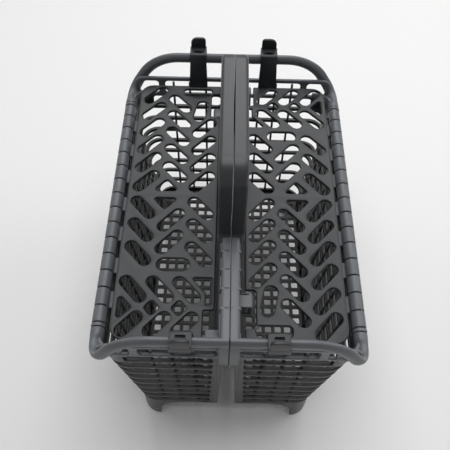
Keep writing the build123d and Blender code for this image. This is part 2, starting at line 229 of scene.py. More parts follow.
# walls of a half: rows of ribs round the outside, thin upright ribs inside
walls = dict(
    floorZ=28.0, sideTop=136.0, endTop=160.0, cornerTop=147.0,
    inLow=7.0, inHigh=4.0, outLow=64.0, outHigh=79.2, endLow=100.0, endHigh=109.0,
    thick=2.2, ribDeep=2.7, edge=0.55, cornerR=13.0, cornerSteps=9, innerR=3.0, innerSteps=4,
    rowStart=33.5, rowPitch=12.4, rowOpen=9.4, sideRows=8, endRows=10,
    columnLow=12.7, columnHigh=8.2, ribX=15.0, toothX=17.5, toothR=2.6,
    seamLow=6.3, seamHigh=2.7, panelX=62.0, panelEnd=67.0, sideEnd=96.0, cornerEnd=90.0,
    topRowX=6.4, topPost=(52.0, 57.0), topEnd=71.5, topHigh=156.8, hornX=75.0, hornLow=141.5, hornR=6.0,
    shelfDeep=3.7, shelfY=86.0, sheetInset=1.0, sheetEdge=0.5, windowR=2.0,
    uprightPitch=12.4, uprightW=1.7, uprightDeep=1.7, uprightEdge=0.35, uprightLift=1.0, uprightSink=0.4,
    stileX=33.0, stileY=82.0, stileW=3.0, stileIn=0.6, stileOut=1.6, stileEdge=0.4,
)


def heightShare(z):  # share of the wall's height
    return (z - walls["floorZ"]) / (walls["endTop"] - walls["floorZ"])


def wallAt(z):  # inner face, outer face and end of the tapered wall at a height
    w = walls
    mix = lambda low, high: w[low] + heightShare(z) * (w[high] - w[low])
    return mix("inLow", "inHigh"), mix("outLow", "outHigh"), mix("endLow", "endHigh")


def columnAt(z):  # edge of the column beside the seam, narrower at the top
    w = walls
    return w["columnLow"] + heightShare(z) * (w["columnHigh"] - w["columnLow"])


def wallLean():  # tilt of the end walls, the outer side and the inner wall
    w = walls
    tall = w["endTop"] - w["floorZ"]
    tilt = lambda low, high: math.degrees(math.atan2(w[high] - w[low], tall))
    return tilt("endLow", "endHigh"), tilt("outLow", "outHigh"), tilt("inHigh", "inLow")


def wallLine(z, startX=None, sideY=None):  # round the outside, from the front end wall to the back one
    w = walls
    x0, x1, y1 = wallAt(z)
    r, steps = w["cornerR"], w["cornerSteps"]
    front = arcPoints(x1 - r, r - y1, r, -90, 0, steps)
    back = arcPoints(x1 - r, y1 - r, r, 0, 90, steps)
    if sideY:  # one corner only
        return [(startX, -y1)] + front + [(x1, -sideY)]
    if startX:
        return [(startX, -y1)] + front + back + [(startX, y1)]
    r, steps = w["innerR"], w["innerSteps"]
    inner = arcPoints(x0 + r, y1 - r, r, 90, 180, steps)
    inner += arcPoints(x0 + r, r - y1, r, 180, 270, steps)
    return front + back + inner


def wallBand(name, z0, z1, startX=None, sideY=None, deep=walls["thick"]):
    closed = startX is None
    wires = [wire(name, wallLine(z, startX, sideY), closed, z) for z in (z0, z1)]
    band = thickened(bridged(wires, name), deep)
    return bevelled(cleaned(band), walls["edge"])


def wallRows():
    w = walls
    first = w["rowStart"]
    rib = w["rowPitch"] - w["rowOpen"]
    ribs = [wallBand("bottomBand", w["floorZ"], first)]
    for n in range(w["sideRows"]):
        high = first + (n + 1) * w["rowPitch"]
        whole = n % 2 and n < w["sideRows"] - 1  # every other rib also crosses the inner wall
        startX = None if whole else w["ribX"]
        ribs.append(wallBand("wallRib", high - rib, high, startX, deep=w["ribDeep"]))
        face = wallAt(high - rib / 2)[1]
        shelfX = (face - w["shelfDeep"], face - w["edge"])
        ribs.append(box("sideShelf", shelfX, (-w["shelfY"], w["shelfY"]), (high - rib, high), w["edge"]))
    sideLow = first + w["sideRows"] * w["rowPitch"] - rib
    x0, x1 = wallAt(sideLow)[1], wallAt(w["sideTop"])[1]
    lean = math.degrees(math.atan2(x1 - x0, w["sideTop"] - sideLow))
    band = box("sideBand", (x0 - w["thick"], x0), (-w["sideEnd"], w["sideEnd"]), (sideLow, w["sideTop"]))
    ribs.append(placed(band, turnedAbout((x0, 0, sideLow), lean, "Y")))
    corner = wallBand("cornerBand", sideLow, w["cornerTop"], w["panelX"], w["cornerEnd"])
    return ribs + [corner, mirrored(corner)]


def endWalls():  # the column with filleted roots for the ribs, and the panel above with its own rows
    w = walls
    rows = [w["rowStart"] + n * w["rowPitch"] for n in range(w["endRows"])]
    corners = [(w["seamLow"], w["floorZ"], w["edge"]), (w["toothX"], w["floorZ"], 0)]
    for low in rows[:w["sideRows"]]:
        high = low + w["rowOpen"]
        corners += [(w["toothX"], low, 0), (columnAt(low), low, w["toothR"])]
        corners += [(columnAt(high), high, w["toothR"]), (w["toothX"], high, 0)]
    panelLow = rows[w["sideRows"]] - (w["rowPitch"] - w["rowOpen"]) / 2
    corners += [(w["toothX"], panelLow, 0), (w["panelEnd"], panelLow, 0)]
    corners += [(w["panelEnd"], w["hornLow"], w["toothR"]), (w["hornX"], w["hornLow"], 0)]
    corners += [(w["hornX"], w["endTop"], w["hornR"]), (w["seamHigh"], w["endTop"], w["edge"])]
    loops = [roundedLoop(corners, steps=4)]
    panelRow, topRow = rows[w["sideRows"]:]
    loops.append(boxLoop(columnAt(panelRow), w["panelX"], panelRow, panelRow + w["rowOpen"], w["toothR"]))
    nearPost, farPost = w["topPost"]
    loops.append(boxLoop(w["topRowX"], nearPost, topRow, w["topHigh"], w["toothR"]))
    window = [(farPost, topRow, w["toothR"]), (w["topEnd"], topRow, w["toothR"])]
    window += [(w["topEnd"], w["topHigh"], w["hornR"]), (farPost, w["topHigh"], w["toothR"])]
    loops.append(roundedLoop(window))
    wall = plate("endWall", loops, w["thick"], w["edge"], facing(w["thick"] / 2 - w["endLow"]))
    placed(wall, turnedAbout((0, -w["endLow"], w["floorZ"]), wallLean()[0], "X"))
    return [wall, mirrored(wall)]


def innerWall():  # wall beside the seam, with tall windows
    w = walls
    inset = w["sheetInset"]
    low, high = w["endLow"] - inset, w["endHigh"] - inset
    sheet = [(-low, w["floorZ"], inset), (low, w["floorZ"], inset)]
    sheet += [(high, w["endTop"], inset), (-high, w["endTop"], inset)]
    loops = [roundedLoop(sheet, steps=3)]
    near = w["stileW"] / 2
    far = w["stileY"] - near
    for n in range(0, w["sideRows"], 2):
        sill = w["rowStart"] + n * w["rowPitch"]
        head = sill + w["rowPitch"] + w["rowOpen"]
        loops.append(boxLoop(near, far, sill, head, w["windowR"]))
        loops.append(boxLoop(-far, -near, sill, head, w["windowR"]))
    wall = plate("innerWall", loops, w["thick"], w["sheetEdge"], standing(w["inLow"] + w["thick"] / 2))
    return placed(wall, turnedAbout((w["inLow"], 0, w["floorZ"]), -wallLean()[2], "Y"))


def uprightRibs():  # thin ribs on the inside of the outer walls
    w = walls
    endLean, sideLean, _ = wallLean()
    low = w["floorZ"] + w["uprightLift"]
    inset = w["thick"] - w["uprightSink"]
    half, stileHalf = w["uprightW"] / 2, w["stileW"] / 2
    edge = w["uprightEdge"]
    ribs = []
    y = w["endLow"] - inset
    endZ = (low, w["endTop"] - w["stileW"])
    for n in (-1, 0, 1):
        x = w["stileX"] + n * w["uprightPitch"]
        rib = box("endRib", (x - half, x + half), (-y, w["uprightDeep"] - y), endZ, edge, segments=1)
        placed(rib, turnedAbout((0, -y, low), endLean, "X"))
        ribs += [rib, mirrored(rib)]
    x = w["outLow"] - inset
    sideZ = (low, w["sideTop"] - w["uprightLift"])
    lean = turnedAbout((x, 0, low), sideLean, "Y")
    count = int(w["stileY"] / w["uprightPitch"])
    for n in range(-count, count + 1):
        y = n * w["uprightPitch"]
        reach = half if n else stileHalf  # the middle one is wider
        rib = box("sideRib", (x - w["uprightDeep"], x), (y - reach, y + reach), sideZ, edge, segments=1)
        ribs.append(placed(rib, lean))
    stileX = (x - w["stileIn"], x + w["stileOut"])
    for y in (-w["stileY"], w["stileY"]):
        rib = box("sideStile", stileX, (y - stileHalf, y + stileHalf), sideZ, w["stileEdge"], segments=1)
        ribs.append(placed(rib, lean))
    return ribs


# floor with rows of small square openings
floorGrid = dict(
    z=28.0, thick=2.4, edge=0.4, inset=0.6, outerR=12.0, innerR=2.0,
    cell=5.2, cellR=0.8, first=17.7, pitch=7.7, columns=6, rowPitch=8.1, rows=11,
)


def basketFloor():
    g = floorGrid
    x0, x1 = walls["inLow"] + g["inset"], walls["outLow"] - g["inset"]
    y1 = walls["endLow"] - g["inset"]
    outline = [(x0, -y1, g["innerR"]), (x1, -y1, g["outerR"]), (x1, y1, g["outerR"]), (x0, y1, g["innerR"])]
    loops = [roundedLoop(outline, steps=8)]
    half = g["cell"] / 2
    for column in range(g["columns"]):
        x = g["first"] + column * g["pitch"]
        for n in range(-g["rows"], g["rows"] + 1):
            y = n * g["rowPitch"]
            loops.append(boxLoop(x - half, x + half, y - half, y + half, g["cellR"]))
    place = Matrix.Translation((0, 0, g["z"] + g["thick"] / 2))
    return plate("basketFloor", loops, g["thick"], g["edge"], place)


# corner feet: at each height, how far the foot runs on along the walls
feet = dict(thick=3.0, edge=0.7, steps=9, flare=((0.15, 0), (15.4, 1), (22.4, 5), (26.32, 11), (29.5, 24)))


def cornerFoot(end):  # quarter round under an outer corner, wider towards the wall above it
    r = walls["cornerR"]
    cx, cy = walls["outLow"] - r, walls["endLow"] - r
    wires = []
    for z, more in feet["flare"]:
        points = [(cx - more, cy + r)] + arcPoints(cx, cy, r, 90, 0, feet["steps"]) + [(cx + r, cy - more)]
        wires.append(wire("cornerFoot", points, False, z))
    foot = thickened(bridged(wires, "cornerFoot"), feet["thick"], cx, cy, even=False)
    bevelled(cleaned(foot), feet["edge"])
    if end < 0:
        cleaned(placed(foot, swapEnds))
    return foot


# hinge rod: full segments that carry it, thin necks for the hooks, collars near the ends
rod = dict(
    x=77.6, z=145.0, r=4.2, neck=2.6, pitch=12.0, gap=0.8, fixed=(12, 36, 60, 84), hooks=(0, 24, 48, 72),
    lastEnd=88.6, collar=(89.4, 91.6, 4.35), collarGap=0.4, end=95.0, round=0.45, roundSteps=3, steps=28,
    post=(7.0, 2.6), postLow=133.0, postEdge=0.6,
)


def hingeRod():
    d = rod
    half = (d["pitch"] - d["gap"]) / 2
    near, far, wide = d["collar"]
    tail = far + d["collarGap"]
    segments = [(-d["end"], -tail, d["r"]), (-far, -near, wide)]
    for y in sorted([-y for y in d["fixed"]] + list(d["fixed"])):
        segments.append((max(y - half, -d["lastEnd"]), min(y + half, d["lastEnd"]), d["r"]))
    segments += [(near, far, wide), (tail, d["end"], d["r"])]
    c, steps = d["round"], d["roundSteps"]
    profile = [(-d["end"], 0)]
    for y0, y1, r in segments:  # shoulders are rounded
        profile += [(y0, d["neck"])] + arcPoints(y0 + c, r - c, c, 180, 90, steps)
        profile += arcPoints(y1 - c, r - c, c, 90, 0, steps) + [(y1, d["neck"])]
    profile.append((d["end"], 0))
    alongY = Matrix(((0, 1, 0, d["x"]), (1, 0, 0, 0), (0, 0, 1, d["z"]), (0, 0, 0, 1)))
    obj = placed(wire("hingeRod", profile, False), alongY)
    bpy.ops.object.mode_set(mode="EDIT")
    bpy.ops.mesh.select_all(action="SELECT")
    bpy.ops.mesh.spin(steps=d["steps"], angle=2 * math.pi, center=(d["x"], 0, d["z"]), axis=(0, 1, 0))
    bpy.ops.object.mode_set(mode="OBJECT")
    pieces = [cleaned(obj)]
    wide, thick = d["post"]
    postX, postZ = (d["x"] - thick, d["x"]), (d["postLow"], d["z"])
    for y in d["fixed"]:
        pieces += bothEnds("rodPost", postX, (y - wide / 2, y + wide / 2), postZ, d["postEdge"])
    return pieces


# end arch: the rod's end bends up, then over into the bar above the end wall
archBar = dict(
    lead=2.0, start=95.0, bend=100.4, y=111.4, leg=7.5, rise=57.5, crownR=32.2, bar=40.1,
    halfY=2.4, halfZ=4.0, ring=24, ovals=6, bendSteps=10, crownSteps=14,
)


def extrudeBy(x, y, z):
    bpy.ops.mesh.extrude_region_move(TRANSFORM_OT_translate={"value": (x, y, z)})


def endArch():  # drawn with an upright leg, then leaned in about the rod
    a = archBar
    bpy.ops.object.select_all(action="DESELECT")
    bpy.ops.mesh.primitive_circle_add(
        vertices=a["ring"], radius=rod["r"], fill_type="NOTHING",
        location=(rod["x"], a["start"] - a["lead"], rod["z"]), rotation=(math.pi / 2, 0, 0),
    )
    obj = bpy.context.object
    obj.name = "endArch"
    bpy.ops.object.transform_apply(location=True, rotation=True, scale=True)
    bpy.ops.object.mode_set(mode="EDIT")
    bpy.ops.mesh.select_all(action="SELECT")
    extrudeBy(0, a["lead"], 0)
    run = (a["bend"] - a["start"]) / a["ovals"]
    ease = lambda t: t * t * (3 - 2 * t)
    size = lambda goal, t: rod["r"] + (goal - rod["r"]) * ease(t)
    for n in range(a["ovals"]):  # round rod to oval bar, in small steps
        now, then = n / a["ovals"], (n + 1) / a["ovals"]
        extrudeBy(0, run, 0)
        growX = size(a["halfZ"], then) / size(a["halfZ"], now)
        growZ = size(a["halfY"], then) / size(a["halfY"], now)
        middle = (rod["x"], a["start"] + run * (n + 1), rod["z"])
        bpy.ops.transform.resize(value=(growX, 1, growZ), center_override=middle)
    lowZ = rod["z"] + a["y"] - a["bend"]
    lowAt = (rod["x"], a["bend"], lowZ)
    crownAt = (rod["x"] - a["crownR"], a["y"], lowZ + a["leg"])
    swing = math.radians(a["rise"])
    bpy.ops.mesh.spin(steps=a["bendSteps"], angle=-math.pi / 2, center=lowAt, axis=(1, 0, 0))
    extrudeBy(0, 0, a["leg"])
    bpy.ops.mesh.spin(steps=a["crownSteps"], angle=swing, center=crownAt, axis=(0, 1, 0))
    extrudeBy(-a["bar"] * math.sin(swing), 0, a["bar"] * math.cos(swing))
    bpy.ops.mesh.edge_face_add()
    bpy.ops.object.mode_set(mode="OBJECT")
    cleaned(placed(obj, turnedAbout((rod["x"], 0, rod["z"]), a["rise"] - 90, "Y")))
    return [obj, mirrored(obj)]


# rail beside the seam, its web and columns; corner radii start at the seam's lower edge
rail = dict(
    x=(0.12, 5.3), z=(173.0, 179.5), y=111.4, radii=(0.3, 0.8, 1.9, 0.5), edge=0.3,
    webX=(3.1, 5.3), webZ=(150.6, 175.5), webY=105.0, webEdge=0.4,
    columnX=6.4, columnTopX=6.0, columnY=(105.0, 107.9), columnLow=138.0, columnTop=160.0,
    columnEdge=0.6, columnTopEdge=0.8,
    collars=(57.0, 69.0, 81.0, 93.0), collarW=1.7, collarOut=0.9, collarDrop=0.3,
    collarRadii=(0.2, 0.8, 2.0, 0.4), collarEdge=0.35,
)


def railSection(right, low, radii):
    left, high = rail["x"][0], rail["z"][1]
    places = ((left, low), (right, low), (right, high), (left, high))
    return roundedLoop([(x, z, r) for (x, z), r in zip(places, radii)])


def seamRail():
    r = rail
    seam, side = r["x"]
    low = r["z"][0]
    pieces = [plate("seamRail", [railSection(side, low, r["radii"])], 2 * r["y"], r["edge"], facing(0))]
    ring = railSection(side + r["collarOut"], low - r["collarDrop"], r["collarRadii"])
    for y in r["collars"]:
        for end in (-1, 1):
            pieces.append(plate("railCollar", [ring], r["collarW"], r["collarEdge"], facing(end * y)))
    pieces.append(box("railWeb", r["webX"], (-r["webY"], r["webY"]), r["webZ"], r["webEdge"]))
    topY, topZ = (r["columnY"][0], r["y"]), (r["columnLow"], r["webZ"][1])
    sideZ = (r["columnLow"], r["columnTop"])
    pieces += bothEnds("topColumn", (seam, r["columnTopX"]), topY, topZ, r["columnTopEdge"])
    pieces += bothEnds("sideColumn", (seam, r["columnX"]), r["columnY"], sideZ, r["columnEdge"])
    return pieces


# carrying handle, one half of its thickness
handle = dict(
    x=(0.4, 7.9), y=48.0, bar=13.0, low=173.0, top=239.9, outR=13.0, inR=9.0, steps=12, edge=2.3, edgeSteps=5,
)


def chosen(obj, test):  # selects the vertices that pass, in edit mode
    bpy.ops.object.mode_set(mode="OBJECT")
    vertices = obj.data.vertices
    for v in vertices:
        v.select = test(v.co)
    for part in (*obj.data.edges, *obj.data.polygons):
        part.select = all(vertices[i].select for i in part.vertices)
    bpy.ops.object.mode_set(mode="EDIT")


def handleHalf():
    h = handle
    seam, side = h["x"]
    y, low, top = h["y"], h["low"], h["top"]
    leg, under = y - h["bar"], top - h["bar"]
    corners = [(y, low, 0), (y, top, h["outR"]), (-y, top, h["outR"]), (-y, low, 0)]
    corners += [(-leg, low, 0), (-leg, under, h["inR"]), (leg, under, h["inR"]), (leg, low, 0)]
    obj = placed(wire("handleHalf", roundedLoop(corners, h["steps"]), True), standing(seam))
    bpy.ops.object.mode_set(mode="EDIT")
    bpy.ops.mesh.select_all(action="SELECT")
    bpy.ops.mesh.remove_doubles(threshold=weldGap)
    bpy.ops.mesh.edge_face_add()
    extrudeBy(side - seam, 0, 0)
    chosen(obj, lambda co: co.x > side - hair)
    bpy.ops.mesh.bevel(offset=h["edge"], segments=h["edgeSteps"], affect="EDGES", clamp_overlap=True)
    bpy.ops.object.mode_set(mode="OBJECT")
    return cleaned(obj)


# coupling of the halves: pocket at the front, lug and guide block at the back
coupling = dict(
    x=(4.0, 14.0), pocketY=(-80.6, -71.4), pocketZ=(141.6, 154.8), wall=1.9, backEdge=0.6,
    room=(6.2, 12.1), roomZ=(143.5, 152.9), outR=1.8, lipR=0.3, roomR=0.5, edge=0.5,
    lugY=(73.8, 79.8), neckX=(-8.0, 6.2), neckZ=(146.5, 150.0),
    headX=(-11.6, -8.0), headZ=(144.0, 152.4), headEdge=0.8,
    guideX=(4.5, 14.0), guideY=(95.5, 103.1), guideZ=(141.6, 156.0), guideEdge=0.9,
)


def halfCoupling():
    c = coupling
    x0, x1 = c["x"]
    y0, y1 = c["pocketY"]
    z0, z1 = c["pocketZ"]
    low, high = c["roomZ"]
    deep = c["room"][1]
    tube = [(x1, z0, c["outR"]), (x1, z1, c["outR"]), (x0, z1, c["lipR"]), (x0, high, 0)]
    tube += [(deep, high, c["roomR"]), (deep, low, c["roomR"]), (x0, low, 0), (x0, z0, c["lipR"])]
    pocket = [roundedLoop(tube, steps=4)]
    return [
        plate("lugPocket", pocket, y1 - y0, c["edge"], facing((y0 + y1) / 2)),
        box("pocketBack", c["room"], (y1 - c["wall"], y1), c["pocketZ"], c["backEdge"]),
        box("lugNeck", c["neckX"], c["lugY"], c["neckZ"], c["edge"]),
        box("lugHead", c["headX"], c["lugY"], c["headZ"], c["headEdge"]),
        box("guideBlock", c["guideX"], c["guideY"], c["guideZ"], c["guideEdge"]),
    ]


# lid grille: slots are (x, y, dx, dy, radius), corners are (x, y, radius)
lid = dict(
    x=(8.9, 69.0), y=103.0, z=(153.4, 156.0), corner=9.0, edge=0.75, sharpR=1.2, softR=1.5,
    notchX=15.5, notchY=(-94.6, -69.9), backY=83.5,
    outer=57.6, middle=38.7, inner=19.8, dx=9.2, dy=10.1, r=3.95,
    frontFirst=10.9, frontMiddle=19.0, frontPitch=16.3, frontCounts=(6, 5, 4),
    backFirst=11.0, backPitch=17.4, backCount=3, backMiddle=20.5, backMiddlePitch=16.7, backMiddleCount=2,
    crossX=58.2, crossPitch=16.2, crossCount=3, crossY=70.6, endY=93.0, endVector=(7.7, 8.3),
    betweenY=82.6, diamondX=(46.05, 29.85), diamond=(4.75, 5.7), diamondR=1.9,
    edgeTriangle=(66.2, 57.4, 9.0), edgeR=1.6,
    webX=(34.5, 52.7), webTipX=43.6, webY=(2.6, 12.8), webR=1.7,
    levelSlot=(35.2, 53.4, 11.2, 0, 4.6), steepSlot=(23.2, -76.8, 2.5, 12.2, 4.2),
    frontCutX=(15.5, 36.5), frontCutY=(-99.8, -92.4), frontCutR=2.4,
    backCut=((23.4, 62, 1.2), (10.6, 62, 1.2), (10.6, 80.6, 1.0), (14.2, 80.6, 1.0), (14.2, 72.8, 1.0)),
)


def lidOutline():
    d = lid
    x0, x1 = d["x"]
    y, notch = d["y"], d["notchX"]
    low, high = d["notchY"]
    sharp, soft = d["sharpR"], d["softR"]
    corners = [(x0, -y, sharp), (x1, -y, d["corner"]), (x1, y, d["corner"]), (notch, y, sharp)]
    corners += [(notch, d["backY"], sharp), (x0, d["backY"], soft), (x0, high, sharp)]
    corners += [(notch, high, soft), (notch, low, soft), (x0, low, sharp)]
    return roundedLoop(corners)


def slotRow(x, first, pitch, count, way):  # leaning slots one behind the other
    d = lid
    return [slotLoop(x, first + n * pitch, way * d["dx"], d["dy"], d["r"]) for n in range(count)]


def lidLoops():
    d = lid
    outerCount, middleCount, innerCount = d["frontCounts"]
    loops = [lidOutline()]
    loops += slotRow(d["outer"], -d["frontFirst"], -d["frontPitch"], outerCount, 1)  # front herringbone
    loops += slotRow(d["middle"], -d["frontMiddle"], -d["frontPitch"], middleCount, -1)
    loops += slotRow(d["inner"], -d["frontFirst"], -d["frontPitch"], innerCount, 1)
    for x in (d["outer"], d["inner"]):  # and behind the middle web
        loops += slotRow(x, d["backFirst"], d["backPitch"], d["backCount"], -1)
    loops += slotRow(d["middle"], d["backMiddle"], d["backMiddlePitch"], d["backMiddleCount"], 1)
    loops.append(slotLoop(*d["levelSlot"]))
    for n in range(d["crossCount"]):  # rows across the back
        x = d["crossX"] - n * d["crossPitch"]
        loops.append(slotLoop(x, d["crossY"], -d["dx"], d["dy"], d["r"]))
        loops.append(slotLoop(x, d["endY"], *d["endVector"], d["r"]))
    y = d["betweenY"]
    wide, tall = d["diamond"]
    for x in d["diamondX"]:  # diamonds between the rows
        tips = ((x - wide, y), (x, y - tall), (x + wide, y), (x, y + tall))
        loops.append(roundedLoop([(*tip, d["diamondR"]) for tip in tips]))
    edgeX, tipX, tall = d["edgeTriangle"]
    tips = ((edgeX, y - tall), (edgeX, y + tall), (tipX, y))
    loops.append(roundedLoop([(*tip, d["edgeR"]) for tip in tips]))
    near, far = d["webY"]
    for side in (1, -1):  # triangles on both sides of the web
        tips = [(x, side * near) for x in d["webX"]] + [(d["webTipX"], side * far)]
        loops.append(roundedLoop([(*tip, d["webR"]) for tip in tips]))
    loops.append(slotLoop(*d["steepSlot"]))
    loops.append(boxLoop(*d["frontCutX"], *d["frontCutY"], d["frontCutR"]))
    loops.append(roundedLoop(d["backCut"]))
    return loops


def lidPlate():
    z0, z1 = lid["z"]
    return plate("lidGrille", lidLoops(), z1 - z0, lid["edge"], Matrix.Translation((0, 0, (z0 + z1) / 2)))


# open hook on an arm from the lid's edge
hook = dict(
    bore=2.95, arm=2.4, armLow=-3.8, mouth=4.4, mouthAt=-45.0, width=11.2, edge=0.4, bend=1.0,
    ringSteps=16, tipSteps=6, boreSteps=20,
)


def lidHook():  # the arm leaves the ring low down, in the shade of the rod
    h = hook
    x, z, r = rod["x"], rod["z"], rod["r"]
    gapOut = math.degrees(math.asin(h["mouth"] / 2 / r))
    gapIn = math.degrees(math.asin(h["mouth"] / 2 / h["bore"]))
    start, stop = h["mouthAt"], 360 + h["mouthAt"]
    low, high = h["armLow"], h["armLow"] + h["arm"]
    rootLow = 180 - math.degrees(math.asin(low / r))
    rootHigh = 180 - math.degrees(math.asin(high / r))
    edge = lid["x"][1]
    inside = edge - h["arm"]
    top = lid["z"][1] - lid["edge"]
    arm = [(x, z + high, 0), (edge, z + high, h["bend"]), (edge, top, 0)]
    arm += [(inside, top, 0), (inside, z + low, h["bend"]), (x, z + low, 0)]
    outer = arcPoints(x, z, r, start + gapOut, rootHigh, h["ringSteps"])
    outer += roundedLoop(arm, steps=3)[1:-1]
    outer += arcPoints(x, z, r, rootLow, stop - gapOut, h["tipSteps"])
    inner = arcPoints(x, z, h["bore"], stop - gapIn, start + gapIn, h["boreSteps"])
    obj = plate("lidHook", [outer + inner], h["width"], h["edge"], facing(0))
    pieces = [obj]
    for y in rod["hooks"][1:]:
        pieces.append(copied(obj, Matrix.Translation((0, y, 0))))
        pieces.append(copied(obj, Matrix.Translation((0, -y, 0))))
    return pieces


# latch clip: tongue from the lid, plate over the bar with a lip in front of it, upright thumb tab
clip = dict(
    x=26.0, base=14.0, wide=12.0, thick=2.0, foot=101.0, rise=107.6, tip=117.38,
    plateZ=(179.8, 181.8), lipLow=175.0, hole=(5.4, 2.0), holeY=111.0, bend=1.6, soft=0.8,
    tabWide=10.8, tabTop=189.8, tabThick=1.8, outerR=4.6, innerR=2.6, edge=0.4, edgeAngle=50.0, cutDeep=60.0,
)


def carved(obj, tool, way):
    mod = obj.modifiers.new("clipCut", "BOOLEAN")
    mod.operation = way
    mod.object = tool
    mod.solver = "EXACT"
    applyModifiers(obj)
    bpy.data.objects.remove(tool)


def latchClip(end):
    c = clip
    x, t = c["x"], c["thick"]
    low, lip = lid["z"][0], c["lipLow"]
    z0, z1 = c["plateZ"]
    inTip = c["tip"] - t
    corners = [(c["foot"], low, 0), (c["foot"] + t, low, 0), (c["rise"] + t, z0, c["soft"])]
    corners += [(inTip, z0, c["soft"]), (inTip, lip, 0), (c["tip"], lip, c["soft"])]
    corners += [(c["tip"], z1, c["soft"]), (c["rise"], z1, c["bend"])]
    strip = plate("latchClip", [roundedLoop(corners, steps=4)], c["base"] + t, c["edge"] / 2, standing(x))
    base, half = c["base"] / 2, c["wide"] / 2
    shape = [(x - base, low - t, 0), (x + base, low - t, 0), (x + half, lip, t)]
    shape += [(x + half, z1 + t, 0), (x - half, z1 + t, 0), (x - half, lip, t)]
    cutter = plate("clipOutline", [roundedLoop(shape, steps=6)], c["cutDeep"], hair, facing(c["holeY"]))
    holeX, holeY = c["hole"][0] / 2, c["hole"][1] / 2
    drillY = (c["holeY"] - holeY, c["holeY"] + holeY)
    drill = box("clipHole", (x - holeX, x + holeX), drillY, (z0 - t, z1 + t), c["edge"])
    carved(strip, cutter, "INTERSECT")
    carved(strip, drill, "DIFFERENCE")
    bevelled(cleaned(strip), c["edge"], angle=c["edgeAngle"])
    left, right = x - c["tabWide"] / 2, x + c["tabWide"] / 2
    root = z1 - t / 2
    tabShape = [(left, root, 0), (right, root, 0)]
    tabShape += [(right, c["tabTop"], c["outerR"]), (left, c["tabTop"], c["innerR"])]
    tabPlace = facing(c["tip"] - c["tabThick"] / 2)
    tab = plate("thumbTab", [roundedLoop(tabShape, steps=6)], c["tabThick"], c["edge"], tabPlace)
    strip = joinPieces([strip, tab], "latchClip")
    if end < 0:
        cleaned(placed(strip, swapEnds))
    return strip


# anthracite plastic: fine grain, faint clouding; colour by height is painted light: painted shade low down,
# painted highlight on the rods, bars and upper edges, a middle grey of painted sheen on the handle
paintedShadeTone = (0.0110, 0.0120, 0.0135)
paintedHighlightTone = (0.108, 0.116, 0.127)
finishes = dict(
    basket_plastic=dict(
        # basket: painted shade below 140 mm, painted highlight from 144 to 180 mm, handle above 184 mm paler
        # with painted sheen
        paintedLightTones=((140, paintedShadeTone), (144, paintedHighlightTone), (180, paintedHighlightTone), (184, (0.028, 0.030, 0.033))),
        ior=1.49, roughness=0.36, grain=0.08, cloud=0.12,
    ),
    lid_plastic=dict(
        # lid: painted shade below 141 mm on the hook arms, painted highlight on the hooks round the rod, lid
        # plate a little paler than the shade
        paintedLightTones=((141, paintedShadeTone), (144, paintedHighlightTone), (150, paintedHighlightTone), (152, (0.0155, 0.0175, 0.0200))),
        ior=1.46, roughness=0.40, grain=0.14, cloud=0.14,
    ),
)
texture = dict(
    height=240.0, cloudScale=55.0, cloudDetail=4.0, speckScale=2400.0, speckDetail=2.0,
    glossSpread=0.06, bumpDeep=0.0002,
)


def plasticFinish(name, paintedLightTones, ior, roughness, grain, cloud):
    t = texture
    mat = bpy.data.materials.new(name)
    mat.use_nodes = True
    nodes, links = mat.node_tree.nodes, mat.node_tree.links
    shader = nodes["Principled BSDF"]
    shader.inputs["IOR"].default_value = ior
    coords = nodes.new("ShaderNodeTexCoord")
    spot = nodes.new("ShaderNodeSeparateXYZ")
    height = nodes.new("ShaderNodeMapRange")
    height.inputs["From Max"].default_value = t["height"] * mm
    paintedLightRamp = nodes.new("ShaderNodeValToRGB")  # colour by height: painted shade low, painted highlight and sheen higher up
    stops = paintedLightRamp.color_ramp.elements
    while len(stops) < len(paintedLightTones):
        stops.new(1.0)
    for stop, (z, colour) in zip(stops, paintedLightTones):
        stop.position = z / t["height"]
        stop.color = (*colour, 1)
    clouds = nodes.new("ShaderNodeTexNoise")
    clouds.inputs["Scale"].default_value = t["cloudScale"]
    clouds.inputs["Detail"].default_value = t["cloudDetail"]
    tint = nodes.new("ShaderNodeMapRange")
    tint.inputs["To Min"].default_value = 1 - cloud
    tint.inputs["To Max"].default_value = 1 + cloud
    mottle = nodes.new("ShaderNodeMix")
    mottle.data_type = "RGBA"
    mottle.blend_type = "MULTIPLY"
    mottle.inputs["Factor"].default_value = 1.0
    speck = nodes.new("ShaderNodeTexNoise")
    speck.inputs["Scale"].default_value = t["speckScale"]
    speck.inputs["Detail"].default_value = t["speckDetail"]
    gloss = nodes.new("ShaderNodeMapRange")
    gloss.inputs["To Min"].default_value = roughness - t["glossSpread"]
    gloss.inputs["To Max"].default_value = roughness + t["glossSpread"]
    bump = nodes.new("ShaderNodeBump")
    bump.inputs["Strength"].default_value = grain
    bump.inputs["Distance"].default_value = t["bumpDeep"]
    for tex in (clouds, speck, spot):
        links.new(coords.outputs["Object"], tex.inputs["Vector"])
    links.new(spot.outputs["Z"], height.inputs["Value"])
    links.new(height.outputs["Result"], paintedLightRamp.inputs["Fac"])
    links.new(clouds.outputs["Fac"], tint.inputs["Value"])
    links.new(paintedLightRamp.outputs["Color"], mottle.inputs["A"])
    links.new(tint.outputs["Result"], mottle.inputs["B"])
    links.new(mottle.outputs["Result"], shader.inputs["Base Color"])
    links.new(clouds.outputs["Fac"], gloss.inputs["Value"])
    links.new(gloss.outputs["Result"], shader.inputs["Roughness"])
    links.new(speck.outputs["Fac"], bump.inputs["Height"])
    links.new(bump.outputs["Normal"], shader.inputs["Normal"])
    return mat


materials = {slot: plasticFinish(slot, **look) for slot, look in finishes.items()}
print("finishes done")


